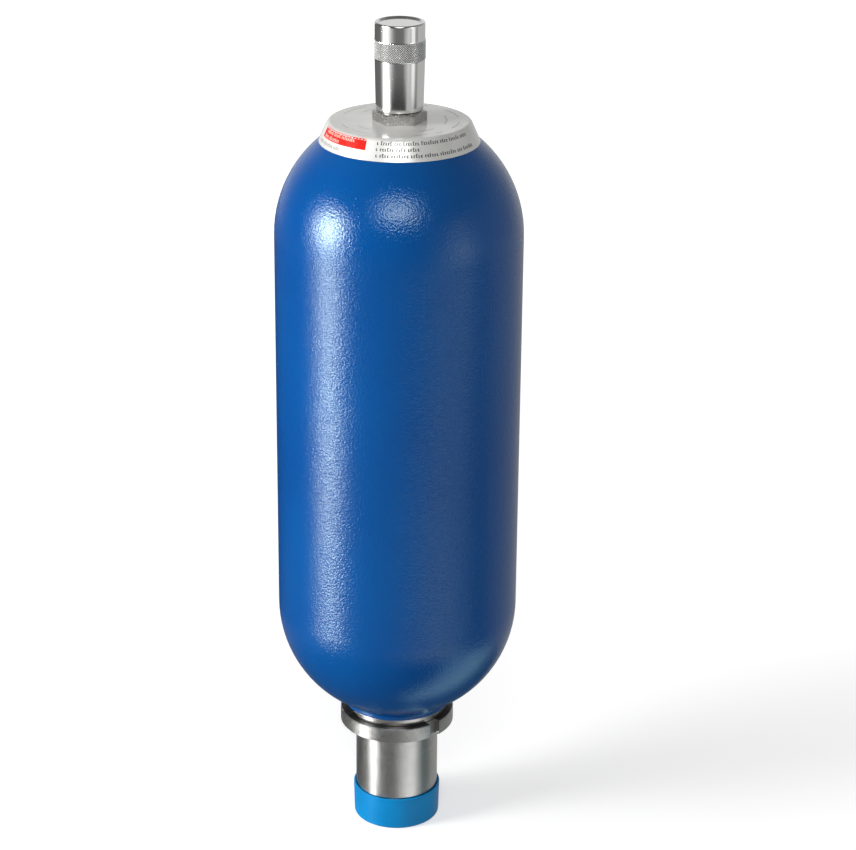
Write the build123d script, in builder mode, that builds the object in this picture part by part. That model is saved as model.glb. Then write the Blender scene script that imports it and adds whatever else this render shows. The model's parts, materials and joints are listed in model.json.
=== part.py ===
from build123d import *
import os
from math import radians, sqrt, tan

# Bladder accumulator: a steel shell with a rubber bladder hung from a gas valve stem at the
# top, and a fluid port with a spring-loaded poppet clamped in its bottom neck.
# Millimetres. +Z is up along the shell's axis. The origin is the centre of the underside of
# the port cap, which the accumulator stands on. The spanner slots of the lock nut face -Y
# and +Y.

# ---- driving dimensions ----

# fits
seat_gap = 0.3              # between faces of pieces that come apart
running_gap = 0.08          # radial, a sliding shaft in its guide
thread_gap = 0.03           # radial, between screwed pieces modelled at one radius
ring_gap = 0.15             # radial, beside the rings in the shell's neck
spring_end_gap = 0.1        # at each end of the poppet's spring
core_end_gap = 0.05         # at each end of the small pieces in the valve core

# edges broken on turned pieces
turned_edge = 1.0
small_edge = 0.5

# shell
shell_od = 168.3
shell_wall = 8.0
shell_straight = 271.0      # length of the cylindrical part
port_neck_r = 38.0          # outer radius of the bottom neck
port_neck_height = 4.0      # stands out of the bottom dome
port_neck_thickness = 14.5
port_neck_bore_r = 35.0
port_neck_root = 2.5        # fillet where the neck meets the dome
gas_face_r = 32.5           # flat on top of the upper dome
gas_neck_thickness = 15.0
gas_bore_gap = 0.4          # radial, round the stem

# port cap, the plastic cap that keeps dirt out of the fluid port
port_cap_floor = 2.0
port_cap_height = 24.0
port_cap_rim_wall = 1.7
port_cap_foot_wall = 1.05
port_cap_edge = 1.6         # rounding of the foot's outer edge
port_cap_rim_edge = 0.4
port_cap_lead = 0.6         # the bore opens by this much at the rim
port_cap_lead_depth = 1.5
port_cap_fit = 0.1          # radial, round the port tube

# fluid port body
port_tube_od = 58.9
port_tube_length = 73.2     # from the port's mouth up to the lock nut
port_tube_chamfer = 1.2
port_thread_r = 30.6        # M62 thread under the lock nut, at its middle radius
port_thread_lead = 1.0      # taper at each end of the thread
port_shaft_r = 31.0         # plain shaft through the shell's neck
port_head_r = 34.6          # passes through the neck's bore
port_head_height = 8.0
port_mouth_bore_r = 19.475  # G 1 1/4 pipe thread, at its minor radius
port_mouth_depth = 35.0
port_mouth_chamfer = 1.7
flow_bore_r = 18.5
bulkhead_height = 12.0      # wall that guides the poppet's stem
bulkhead_rise = 2.5         # from the lock nut's underside to the bulkhead
flow_hole_r = 4.4
flow_hole_count = 6
flow_hole_pitch_r = 13.6
flow_hole_start = 30        # degrees
spring_chamber_r = 24.0
seat_r = 31.0               # wide end of the 45 degree valve seat

# lock nut and the rings below the shell's neck
lock_nut_od = 81.1
lock_nut_height = 11.0
lock_nut_edge = 0.6
spanner_slot_width = 8.7
spanner_slot_depth = 4.6
spanner_slot_count = 2
spacer_flange_r = 36.0
spacer_flange_height = 5.8
spacer_boss_height = 6.0
support_ring_height = 2.0
port_o_ring_section = 3.96
washer_thickness = 2.5

# anti-extrusion ring
anti_ring_foot_r = 39.5
anti_ring_outer_r = 47.5
anti_ring_height = 6.7      # from the neck's inner face to the widest point
anti_ring_nose_r = 2.0
anti_ring_seat_height = 9.2  # from the neck's inner face to the port's head
anti_ring_lip = 3.6         # rises beside the port's head
anti_ring_lip_width = 1.0

# poppet
poppet_stroke = 12.0
poppet_stem_r = 6.0
poppet_rim_r = 31.5
poppet_rim_height = 3.5
poppet_rim_edge = 1.5
poppet_crown = 1.6          # the top's rise at its centre
poppet_hub_r = 9.5
poppet_hub_drop = 3.0       # from the poppet's underside to the hub's narrow end
poppet_spring_wire = 3.0
poppet_spring_r = 14.0      # to the middle of the wire
poppet_spring_turns = 5
damping_bush_r = 9.0
damping_bush_height = 8.0
poppet_nut_flats = 18.0
poppet_nut_height = 10.0
poppet_stem_tail = 2.0      # shows below the nut
poppet_tail_edge = 0.8

# bleed screw, in the back of the port tube
bleed_height = 38.0         # below the lock nut's underside the screw's axis lies this far
bleed_thread_r = 4.0
bleed_head_flats = 11.0
bleed_head_height = 4.0
bleed_land_depth = 1.0      # flat cut in the tube under the screw's seal
bleed_land_r = 7.5
bleed_seal_r = 6.2
bleed_seal_thickness = 1.2
bleed_end_sink = 1.0        # the screw ends this far outside the flow bore

# gas valve stem, moulded into the bladder
stem_thread_r = 11.11       # 7/8 inch thread
stem_thread_height = 28.0   # stands above the shell
stem_boss_r = 8.0
stem_boss_height = 12.0
stem_boss_edge = 0.8
stem_foot_r = 28.0
stem_foot_thickness = 5.0
stem_tail_r = 8.0
stem_tail_length = 6.0
gas_hole_r = 3.0
core_pocket_r = 4.0
core_pocket_depth = 22.0

# name plate, hexagon nut
plate_thickness = 1.0
plate_flat_r = 47.7
plate_rim_r = 53.8
plate_bend = 2.5
plate_seat_gap = 0.05       # between the plate's foot and the dome
stem_nut_flats = 31.75
stem_nut_height = 7.4
stem_nut_top_inset = 0.3    # from the flats to the round top face
stem_nut_chamfer = 30       # degrees, slope of the corners
stem_nut_turn = -40.8       # degrees, from -Y to the middle of one flat

# bladder
bladder_wall = 3.0
bladder_shoulder_r = 34.0
bladder_body_r = 56.0
bladder_shoulder_drop = 32.0
bladder_shoulder_bulge = 6.0
bladder_end_r = 54.0
bladder_length = 345.0
bladder_skin = 2.0          # rubber over the stem's foot

# valve core
core_body_length = 15.5
core_sink = 1.5             # below the stem's end
core_guide_length = 4.0
core_chamber_r = 2.6
core_pin_r = 1.15
core_pin_sink = 0.4         # the pin's tip lies this far below the body's end
core_pin_edge = 0.3
core_pin_head = 0.6         # height and overhang of the head that holds the seal
core_collar_r = 2.2
core_collar_height = 1.5
core_collar_drop = 2.0      # from the pin's tip to the collar
core_seal_r = 2.8
core_seal_thickness = 1.5
core_spring_wire = 0.5
core_spring_r = 1.85
core_spring_turns = 6

# seal cap, over the valve core
seal_cap_r = 10.4
seal_cap_top = 4.5
seal_cap_edge = 1.0
seal_cap_gap = 0.2          # above the stem's shoulder
seal_ring_section = 1.8
seal_ring_r = 6.0

# protective cap, the tall outer cap
cap_top_r = 16.65
cap_foot_r = 15.9
cap_height = 58.4
cap_foot_gap = 0.6          # above the hexagon nut
cap_edge = 1.0
cap_dish_r = 14.15          # where the dished top opens
cap_dish_floor_r = 13.4
cap_dish_depth = 1.0
cap_roof = 5.0
cap_thread_length = 12.0
cap_chamber_r = 12.5
knurl_top_drop = 11.5       # from the cap's top to the knurled band
knurl_band_height = 13.0
knurl_rise = 0.4

# ---- heights and radii worked out from the above ----

port_end_z = port_cap_floor + seat_gap
nut_z = port_end_z + port_tube_length
nut_top_z = nut_z + lock_nut_height
neck_z = nut_top_z + spacer_flange_height
neck_inner_z = neck_z + port_neck_thickness
head_z = neck_inner_z + anti_ring_seat_height
head_top_z = head_z + port_head_height

shell_r = shell_od / 2
shell_inner_r = shell_r - shell_wall
low_centre_z = neck_z + port_neck_height + sqrt(shell_r**2 - port_neck_r**2)
high_centre_z = low_centre_z + shell_straight
gas_face_z = high_centre_z + sqrt(shell_r**2 - gas_face_r**2)
gas_inner_z = gas_face_z - gas_neck_thickness


def dome_height(dome_r, centre_z, r):
    """Height at radius r on an upper dome."""
    return centre_z + sqrt(dome_r**2 - r**2)


# ---- shell ----

gas_bore_r = stem_thread_r + gas_bore_gap
inner_low_r = sqrt(shell_inner_r**2 - (low_centre_z - neck_inner_z) ** 2)
inner_high_r = sqrt(shell_inner_r**2 - (gas_inner_z - high_centre_z) ** 2)

with BuildPart() as shell:
    with BuildSketch(Plane.XZ):
        with BuildLine():
            Polyline(
                (port_neck_bore_r, neck_z),
                (port_neck_r, neck_z),
                (port_neck_r, neck_z + port_neck_height),
            )
            RadiusArc(
                (port_neck_r, neck_z + port_neck_height), (shell_r, low_centre_z), -shell_r
            )
            Line((shell_r, low_centre_z), (shell_r, high_centre_z))
            RadiusArc((shell_r, high_centre_z), (gas_face_r, gas_face_z), -shell_r)
            Polyline(
                (gas_face_r, gas_face_z),
                (gas_bore_r, gas_face_z),
                (gas_bore_r, gas_inner_z),
                (inner_high_r, gas_inner_z),
            )
            RadiusArc((inner_high_r, gas_inner_z), (shell_inner_r, high_centre_z), shell_inner_r)
            Line((shell_inner_r, high_centre_z), (shell_inner_r, low_centre_z))
            RadiusArc((shell_inner_r, low_centre_z), (inner_low_r, neck_inner_z), shell_inner_r)
            Polyline(
                (inner_low_r, neck_inner_z),
                (port_neck_bore_r, neck_inner_z),
                (port_neck_bore_r, neck_z),
            )
        make_face()
    revolve(axis=Axis.Z)
    neck_root = shell.edges().filter_by(GeomType.CIRCLE).sort_by_distance(
        (port_neck_r, 0, neck_z + port_neck_height)
    )[0]
    fillet(neck_root, radius=port_neck_root)

# ---- fluid port body ----

bulkhead_z = nut_z + bulkhead_rise
bulkhead_top_z = bulkhead_z + bulkhead_height
chamber_top_z = head_top_z - (seat_r - spring_chamber_r)
mouth_top_z = port_end_z + port_mouth_depth
port_tube_r = port_tube_od / 2
guide_r = poppet_stem_r + running_gap
bleed_z = nut_z - bleed_height
bleed_land_y = port_tube_r - bleed_land_depth

with BuildPart() as port_body:
    with BuildSketch(Plane.XZ):
        with BuildLine():
            Polyline(
                (port_mouth_bore_r + port_mouth_chamfer, port_end_z),
                (port_tube_r - port_tube_chamfer, port_end_z),
                (port_tube_r, port_end_z + port_tube_chamfer),
                (port_tube_r, nut_z - port_thread_lead),
                (port_thread_r, nut_z),
                (port_thread_r, nut_top_z + port_thread_lead),
                (port_shaft_r, nut_top_z + 2 * port_thread_lead),
                (port_shaft_r, head_z),
                (port_head_r, head_z),
                (port_head_r, head_top_z - turned_edge),
                (port_head_r - turned_edge, head_top_z),
                (seat_r, head_top_z),
                (spring_chamber_r, chamber_top_z),
                (spring_chamber_r, bulkhead_top_z),
                (guide_r, bulkhead_top_z),
                (guide_r, bulkhead_z),
                (flow_bore_r, bulkhead_z),
                (flow_bore_r, mouth_top_z),
                (port_mouth_bore_r, mouth_top_z),
                (port_mouth_bore_r, port_end_z + port_mouth_chamfer),
                close=True,
            )
        make_face()
    revolve(axis=Axis.Z)
    with BuildSketch(Plane.XY.offset(bulkhead_z)):
        with PolarLocations(flow_hole_pitch_r, flow_hole_count, start_angle=flow_hole_start):
            Circle(flow_hole_r)
    extrude(amount=bulkhead_height, mode=Mode.SUBTRACT)
    with BuildSketch(Plane.XZ.offset(-bleed_land_y)):
        with Locations((0, bleed_z)):
            Circle(bleed_land_r)
    extrude(amount=-2 * bleed_land_depth, mode=Mode.SUBTRACT)
    with BuildSketch(Plane.XZ.offset(-bleed_land_y)):
        with Locations((0, bleed_z)):
            Circle(bleed_thread_r + thread_gap)
    extrude(amount=bleed_land_y, mode=Mode.SUBTRACT)

# ---- rings between the port and the shell's neck ----

washer_z = neck_inner_z - washer_thickness
o_ring_z = washer_z - port_o_ring_section / 2
support_z = washer_z - port_o_ring_section - support_ring_height
boss_top_z = neck_z + spacer_boss_height
ring_inner_r = port_shaft_r + ring_gap
ring_outer_r = port_neck_bore_r - ring_gap
anti_widest_z = neck_inner_z + anti_ring_height
lip_top_z = head_z + anti_ring_lip
lip_r = port_head_r + ring_gap

with BuildPart() as anti_extrusion_ring:
    with BuildSketch(Plane.XZ):
        with BuildLine():
            Polyline(
                (ring_inner_r, neck_inner_z),
                (anti_ring_foot_r, neck_inner_z),
                (anti_ring_outer_r, anti_widest_z),
            )
            ThreePointArc(
                (anti_ring_outer_r, anti_widest_z),
                (anti_ring_outer_r + anti_ring_nose_r / 2, anti_widest_z + anti_ring_nose_r),
                (anti_ring_outer_r - anti_ring_nose_r / 2, anti_widest_z + 2 * anti_ring_nose_r),
            )
            Polyline(
                (anti_ring_outer_r - anti_ring_nose_r / 2, anti_widest_z + 2 * anti_ring_nose_r),
                (lip_r + anti_ring_lip_width, lip_top_z),
                (lip_r, lip_top_z),
                (lip_r, head_z),
                (ring_inner_r, head_z),
                (ring_inner_r, neck_inner_z),
            )
        make_face()
    revolve(axis=Axis.Z)

with BuildPart() as flat_washer:
    with BuildSketch(Plane.XY.offset(washer_z)):
        Circle(ring_outer_r)
        Circle(ring_inner_r, mode=Mode.SUBTRACT)
    extrude(amount=washer_thickness)

with BuildPart() as port_o_ring:
    with BuildSketch(Plane.XZ):
        with Locations(((port_shaft_r + port_neck_bore_r) / 2, o_ring_z)):
            Circle(port_o_ring_section / 2)
    revolve(axis=Axis.Z)

with BuildPart() as support_ring:
    with BuildSketch(Plane.XY.offset(support_z)):
        Circle(ring_outer_r)
        Circle(ring_inner_r, mode=Mode.SUBTRACT)
    extrude(amount=support_ring_height)

with BuildPart() as spacer_ring:
    with BuildSketch(Plane.XZ):
        with BuildLine():
            Polyline(
                (ring_inner_r, nut_top_z),
                (spacer_flange_r - small_edge, nut_top_z),
                (spacer_flange_r, nut_top_z + small_edge),
                (spacer_flange_r, neck_z),
                (ring_outer_r, neck_z),
                (ring_outer_r, boss_top_z),
                (ring_inner_r, boss_top_z),
                close=True,
            )
        make_face()
    revolve(axis=Axis.Z)

with BuildPart() as lock_nut:
    with BuildSketch(Plane.XY.offset(nut_z)):
        Circle(lock_nut_od / 2)
        Circle(port_thread_r + thread_gap, mode=Mode.SUBTRACT)
    extrude(amount=lock_nut_height)
    chamfer(
        lock_nut.edges().filter_by(GeomType.CIRCLE).group_by(SortBy.RADIUS)[-1],
        length=lock_nut_edge,
    )
    chamfer(
        lock_nut.edges().filter_by(GeomType.CIRCLE).group_by(SortBy.RADIUS)[0],
        length=lock_nut_edge / 2,
    )
    with BuildSketch(Plane.XY.offset(nut_z)):
        with PolarLocations(lock_nut_od / 2, spanner_slot_count, start_angle=90):
            Rectangle(2 * spanner_slot_depth, spanner_slot_width)
    extrude(amount=lock_nut_height, mode=Mode.SUBTRACT)

# ---- bleed screw ----

bleed_end_y = flow_bore_r + bleed_end_sink

with BuildPart() as bleed_seal:
    with BuildSketch(Plane.XZ.offset(-bleed_land_y)):
        with Locations((0, bleed_z)):
            Circle(bleed_seal_r)
            Circle(bleed_thread_r + thread_gap, mode=Mode.SUBTRACT)
    extrude(amount=-bleed_seal_thickness)

with BuildPart() as bleed_screw:
    with BuildSketch(Plane.XZ.offset(-(bleed_land_y + bleed_seal_thickness))):
        with Locations((0, bleed_z)):
            RegularPolygon(bleed_head_flats / 2, 6, major_radius=False)
    extrude(amount=-bleed_head_height)
    with BuildSketch(Plane.XZ.offset(-bleed_end_y)):
        with Locations((0, bleed_z)):
            Circle(bleed_thread_r)
    extrude(amount=-(bleed_land_y + bleed_seal_thickness - bleed_end_y))

# ---- port cap ----

cap_bore_r = port_tube_r + port_cap_fit
cap_rim_r = cap_bore_r + port_cap_rim_wall
cap_base_r = cap_bore_r + port_cap_foot_wall

with BuildPart() as port_cap:
    with BuildSketch(Plane.XZ):
        with BuildLine():
            Polyline(
                (0, 0),
                (cap_base_r, 0),
                (cap_rim_r, port_cap_height - port_cap_rim_edge),
                (cap_rim_r - port_cap_rim_edge, port_cap_height),
                (cap_bore_r + port_cap_lead, port_cap_height),
                (cap_bore_r, port_cap_height - port_cap_lead_depth),
                (cap_bore_r, port_cap_floor),
                (0, port_cap_floor),
                close=True,
            )
        make_face()
    revolve(axis=Axis.Z)
    fillet(
        port_cap.edges().filter_by(GeomType.CIRCLE).sort_by_distance((cap_base_r, 0, 0))[0],
        radius=port_cap_edge,
    )

# ---- poppet, open at rest: its nut rests against the bulkhead through the damping bush ----

poppet_face_z = chamber_top_z + seat_gap + poppet_stroke
poppet_cone_top_z = poppet_face_z + poppet_rim_r - spring_chamber_r
poppet_top_z = poppet_cone_top_z + poppet_rim_height
crown_r = poppet_rim_r - poppet_rim_edge
bush_z = bulkhead_z - seat_gap - damping_bush_height
poppet_nut_z = bush_z - poppet_nut_height
stem_tail_z = poppet_nut_z - poppet_stem_tail

with BuildPart() as poppet:
    with BuildSketch(Plane.XZ):
        with BuildLine():
            Polyline(
                (0, stem_tail_z),
                (poppet_stem_r - poppet_tail_edge, stem_tail_z),
                (poppet_stem_r, stem_tail_z + poppet_tail_edge),
                (poppet_stem_r, poppet_face_z - poppet_hub_drop),
                (poppet_hub_r, poppet_face_z),
                (spring_chamber_r, poppet_face_z),
                (poppet_rim_r, poppet_cone_top_z),
                (poppet_rim_r, poppet_top_z - poppet_rim_edge),
            )
            RadiusArc(
                (poppet_rim_r, poppet_top_z - poppet_rim_edge),
                (crown_r, poppet_top_z),
                -poppet_rim_edge,
            )
            TangentArc((0, poppet_top_z + poppet_crown), (crown_r, poppet_top_z), tangent=(1, 0))
            Line((0, poppet_top_z + poppet_crown), (0, stem_tail_z))
        make_face()
    revolve(axis=Axis.Z)

with BuildPart() as damping_bush:
    with BuildSketch(Plane.XY.offset(bush_z)):
        Circle(damping_bush_r)
        Circle(poppet_stem_r + thread_gap, mode=Mode.SUBTRACT)
    extrude(amount=damping_bush_height)
    chamfer(
        damping_bush.faces().sort_by(Axis.Z)[-1].edges().sort_by(SortBy.RADIUS)[-1],
        length=turned_edge,
    )

with BuildPart() as poppet_nut:
    with BuildSketch(Plane.XY.offset(poppet_nut_z)):
        RegularPolygon(poppet_nut_flats / 2, 6, major_radius=False)
        Circle(poppet_stem_r + thread_gap, mode=Mode.SUBTRACT)
    extrude(amount=poppet_nut_height)

spring_z = bulkhead_top_z + spring_end_gap
spring_top_z = poppet_face_z - spring_end_gap
spring_pitch = (spring_top_z - spring_z) / poppet_spring_turns

with BuildPart() as poppet_spring:
    with BuildLine() as poppet_coil:
        Helix(
            pitch=spring_pitch,
            height=spring_top_z - spring_z,
            radius=poppet_spring_r,
            center=(0, 0, spring_z),
        )
    with BuildSketch(Plane(origin=poppet_coil.line @ 0, z_dir=poppet_coil.line % 0)):
        Circle(poppet_spring_wire / 2)
    sweep(is_frenet=True)
    split(bisect_by=Plane.XY.offset(spring_z), keep=Keep.TOP)
    split(bisect_by=Plane.XY.offset(spring_top_z), keep=Keep.BOTTOM)

# ---- bladder and its stem ----

stem_shoulder_z = gas_face_z + stem_thread_height
stem_top_z = stem_shoulder_z + stem_boss_height
foot_top_z = gas_inner_z - bladder_skin
foot_z = foot_top_z - stem_foot_thickness
tail_z = foot_z - stem_tail_length
pocket_z = stem_top_z - core_pocket_depth

stem_outline = [
    (0, tail_z),
    (stem_tail_r, tail_z),
    (stem_tail_r, foot_z),
    (stem_foot_r - turned_edge, foot_z),
    (stem_foot_r, foot_z + turned_edge),
    (stem_foot_r, foot_top_z - turned_edge),
    (stem_foot_r - turned_edge, foot_top_z),
    (stem_thread_r, foot_top_z),
    (stem_thread_r, stem_shoulder_z - turned_edge),
    (stem_thread_r - turned_edge, stem_shoulder_z),
    (stem_boss_r, stem_shoulder_z),
    (stem_boss_r, stem_top_z - stem_boss_edge),
    (stem_boss_r - stem_boss_edge, stem_top_z),
    (0, stem_top_z),
]

with BuildPart() as bladder_stem:
    with BuildSketch(Plane.XZ):
        with BuildLine():
            Polyline(*stem_outline, close=True)
        make_face()
    revolve(axis=Axis.Z)
    with BuildSketch(Plane.XY.offset(tail_z)):
        Circle(gas_hole_r)
    extrude(amount=pocket_z - tail_z, mode=Mode.SUBTRACT)
    with BuildSketch(Plane.XY.offset(pocket_z)):
        Circle(core_pocket_r)
    extrude(amount=core_pocket_depth, mode=Mode.SUBTRACT)

bladder_top_z = gas_inner_z
shoulder_z = bladder_top_z - bladder_shoulder_drop
bladder_low_z = bladder_top_z - bladder_length
bladder_end_z = bladder_low_z + bladder_end_r
under_foot_z = foot_z - bladder_wall

with BuildPart() as bladder:
    with BuildSketch(Plane.XZ):
        with BuildLine():
            Line((0, bladder_top_z), (bladder_shoulder_r, bladder_top_z))
            SagittaArc(
                (bladder_shoulder_r, bladder_top_z),
                (bladder_body_r, shoulder_z),
                bladder_shoulder_bulge,
            )
            Line((bladder_body_r, shoulder_z), (bladder_end_r, bladder_end_z))
            RadiusArc((bladder_end_r, bladder_end_z), (0, bladder_low_z), bladder_end_r)
            Line((0, bladder_low_z), (0, bladder_top_z))
        make_face()
    revolve(axis=Axis.Z)
    with BuildSketch(Plane.XZ):
        with BuildLine():
            Polyline(
                (0, under_foot_z),
                (stem_foot_r, under_foot_z),
                (stem_foot_r + bladder_wall, bladder_top_z - bladder_wall),
                (bladder_shoulder_r, bladder_top_z - bladder_wall),
            )
            SagittaArc(
                (bladder_shoulder_r, bladder_top_z - bladder_wall),
                (bladder_body_r - bladder_wall, shoulder_z),
                bladder_shoulder_bulge,
            )
            Line(
                (bladder_body_r - bladder_wall, shoulder_z),
                (bladder_end_r - bladder_wall, bladder_end_z),
            )
            RadiusArc(
                (bladder_end_r - bladder_wall, bladder_end_z),
                (0, bladder_low_z + bladder_wall),
                bladder_end_r - bladder_wall,
            )
            Line((0, bladder_low_z + bladder_wall), (0, under_foot_z))
        make_face()
    revolve(axis=Axis.Z, mode=Mode.SUBTRACT)
    with BuildSketch(Plane.XZ):
        with BuildLine():
            Polyline(*stem_outline, close=True)
        make_face()
    revolve(axis=Axis.Z, mode=Mode.SUBTRACT)

# ---- valve core ----

core_top_z = stem_top_z - core_sink
core_z = core_top_z - core_body_length
core_guide_top_z = core_z + core_guide_length
pin_top_z = core_top_z - core_pin_sink
collar_top_z = pin_top_z - core_collar_drop
collar_z = collar_top_z - core_collar_height
core_guide_r = core_pin_r + running_gap
core_r = core_pocket_r - thread_gap
core_seal_top_z = core_z - core_end_gap
core_seal_z = core_seal_top_z - core_seal_thickness

with BuildPart() as valve_core_body:
    with BuildSketch(Plane.XZ):
        with BuildLine():
            Polyline(
                (core_guide_r, core_z),
                (core_r - small_edge, core_z),
                (core_r, core_z + small_edge),
                (core_r, core_top_z - small_edge),
                (core_r - small_edge, core_top_z),
                (core_chamber_r, core_top_z),
                (core_chamber_r, core_guide_top_z),
                (core_guide_r, core_guide_top_z),
                close=True,
            )
        make_face()
    revolve(axis=Axis.Z)

with BuildPart() as valve_core_pin:
    with BuildSketch(Plane.XZ):
        with BuildLine():
            Polyline(
                (0, core_seal_z - core_pin_head),
                (core_pin_r + core_pin_head, core_seal_z - core_pin_head),
                (core_pin_r + core_pin_head, core_seal_z),
                (core_pin_r, core_seal_z),
                (core_pin_r, collar_z),
                (core_collar_r, collar_z),
                (core_collar_r, collar_top_z),
                (core_pin_r, collar_top_z),
                (core_pin_r, pin_top_z - core_pin_edge),
                (core_pin_r - core_pin_edge, pin_top_z),
                (0, pin_top_z),
                close=True,
            )
        make_face()
    revolve(axis=Axis.Z)

with BuildPart() as valve_core_seal:
    with BuildSketch(Plane.XY.offset(core_seal_z)):
        Circle(core_seal_r)
        Circle(core_pin_r, mode=Mode.SUBTRACT)
    extrude(amount=core_seal_thickness)

core_spring_z = core_guide_top_z + core_end_gap
core_spring_top_z = collar_z - core_end_gap

with BuildPart() as valve_core_spring:
    with BuildLine() as core_coil:
        Helix(
            pitch=(core_spring_top_z - core_spring_z) / core_spring_turns,
            height=core_spring_top_z - core_spring_z,
            radius=core_spring_r,
            center=(0, 0, core_spring_z),
        )
    with BuildSketch(Plane(origin=core_coil.line @ 0, z_dir=core_coil.line % 0)):
        Circle(core_spring_wire / 2)
    sweep(is_frenet=True)
    split(bisect_by=Plane.XY.offset(core_spring_z), keep=Keep.TOP)
    split(bisect_by=Plane.XY.offset(core_spring_top_z), keep=Keep.BOTTOM)

# ---- seal cap, its ring, the hexagon nut and the name plate ----

seal_ring_z = stem_top_z + seal_ring_section / 2
seal_ceiling_z = stem_top_z + seal_ring_section
seal_cap_z = stem_shoulder_z + seal_cap_gap
seal_bore_r = stem_boss_r + thread_gap

with BuildPart() as seal_cap:
    with BuildSketch(Plane.XY.offset(seal_cap_z)):
        Circle(seal_cap_r)
    extrude(amount=seal_ceiling_z + seal_cap_top - seal_cap_z)
    chamfer(seal_cap.faces().sort_by(Axis.Z)[-1].edges(), length=seal_cap_edge)
    with BuildSketch(Plane.XY.offset(seal_cap_z)):
        Circle(seal_bore_r)
    extrude(amount=seal_ceiling_z - seal_cap_z, mode=Mode.SUBTRACT)

with BuildPart() as seal_cap_o_ring:
    with BuildSketch(Plane.XZ):
        with Locations((seal_ring_r, seal_ring_z)):
            Circle(seal_ring_section / 2)
    revolve(axis=Axis.Z)

plate_z = gas_face_z
stem_nut_z = plate_z + plate_thickness
stem_nut_top_z = stem_nut_z + stem_nut_height
stem_nut_top_r = stem_nut_flats / 2 - stem_nut_top_inset
nut_cone_r = stem_nut_flats * 0.6   # outside the corners
nut_cone_drop = (nut_cone_r - stem_nut_top_r) * tan(radians(stem_nut_chamfer))

with BuildPart() as stem_nut:
    with BuildSketch(Plane.XY.offset(stem_nut_z)):
        RegularPolygon(stem_nut_flats / 2, 6, major_radius=False, rotation=stem_nut_turn)
        Circle(stem_thread_r + thread_gap, mode=Mode.SUBTRACT)
    extrude(amount=stem_nut_height)
    with BuildSketch(Plane.XZ):
        with BuildLine():
            Polyline(
                (stem_nut_top_r, stem_nut_top_z),
                (nut_cone_r, stem_nut_top_z - nut_cone_drop),
                (nut_cone_r, stem_nut_z),
                (0, stem_nut_z),
                (0, stem_nut_top_z),
                close=True,
            )
        make_face()
    revolve(axis=Axis.Z, mode=Mode.INTERSECT)

plate_foot_r = plate_rim_r - plate_thickness
plate_seat_r = shell_r + plate_seat_gap

with BuildPart() as name_plate:
    with BuildSketch(Plane.XZ):
        with BuildLine():
            Polyline(
                (gas_bore_r, plate_z),
                (plate_flat_r - plate_thickness, plate_z),
                (plate_foot_r, dome_height(plate_seat_r, high_centre_z, plate_foot_r)),
                (plate_rim_r, dome_height(plate_seat_r, high_centre_z, plate_rim_r)),
                (plate_flat_r, plate_z + plate_thickness),
                (gas_bore_r, plate_z + plate_thickness),
                close=True,
            )
        make_face()
    revolve(axis=Axis.Z)
    bends = name_plate.edges().filter_by(GeomType.CIRCLE)
    fillet(
        bends.sort_by_distance((plate_flat_r, 0, plate_z + plate_thickness))[0],
        radius=plate_bend + plate_thickness,
    )
    bends = name_plate.edges().filter_by(GeomType.CIRCLE)
    fillet(
        bends.sort_by_distance((plate_flat_r - plate_thickness, 0, plate_z))[0], radius=plate_bend
    )

# ---- protective cap ----

cap_z = stem_nut_top_z + cap_foot_gap
cap_top_z = cap_z + cap_height
cap_ceiling_z = cap_top_z - cap_roof
knurl_top_z = cap_top_z - knurl_top_drop
knurl_z = knurl_top_z - knurl_band_height
knurl_r = cap_top_r + knurl_rise
cap_thread_r = stem_thread_r + running_gap

with BuildPart() as protective_cap:
    with BuildSketch(Plane.XZ):
        with BuildLine():
            Polyline(
                (cap_thread_r, cap_z),
                (cap_foot_r - cap_edge / 2, cap_z),
                (cap_foot_r, cap_z + cap_edge / 2),
                (cap_top_r, knurl_z),
                (knurl_r, knurl_z + knurl_rise),
                (knurl_r, knurl_top_z - knurl_rise),
                (cap_top_r, knurl_top_z),
                (cap_top_r, cap_top_z),
                (cap_dish_r, cap_top_z),
                (cap_dish_floor_r, cap_top_z - cap_dish_depth),
                (0, cap_top_z - cap_dish_depth),
                (0, cap_ceiling_z),
                (cap_chamber_r, cap_ceiling_z),
                (cap_chamber_r, cap_z + cap_thread_length),
                (cap_thread_r, cap_z + cap_thread_length),
                close=True,
            )
        make_face()
    revolve(axis=Axis.Z)
    fillet(
        protective_cap.edges().filter_by(GeomType.CIRCLE).sort_by_distance(
            (cap_top_r, 0, cap_top_z)
        )[0],
        radius=cap_edge,
    )

# ---- labels and files ----

pieces = {
    "shell": shell,
    "port_body": port_body,
    "anti_extrusion_ring": anti_extrusion_ring,
    "flat_washer": flat_washer,
    "port_o_ring": port_o_ring,
    "support_ring": support_ring,
    "spacer_ring": spacer_ring,
    "lock_nut": lock_nut,
    "bleed_seal": bleed_seal,
    "bleed_screw": bleed_screw,
    "port_cap": port_cap,
    "poppet": poppet,
    "damping_bush": damping_bush,
    "poppet_nut": poppet_nut,
    "poppet_spring": poppet_spring,
    "bladder_stem": bladder_stem,
    "bladder": bladder,
    "valve_core_body": valve_core_body,
    "valve_core_pin": valve_core_pin,
    "valve_core_seal": valve_core_seal,
    "valve_core_spring": valve_core_spring,
    "seal_cap": seal_cap,
    "seal_cap_o_ring": seal_cap_o_ring,
    "stem_nut": stem_nut,
    "name_plate": name_plate,
    "protective_cap": protective_cap,
}

os.makedirs("parts", exist_ok=True)
for name, piece in pieces.items():
    piece.part.label = name
    export_step(piece.part, f"parts/{name}.step")
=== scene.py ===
import json
import math
import bmesh
import bpy
from mathutils import Matrix, Vector


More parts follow.
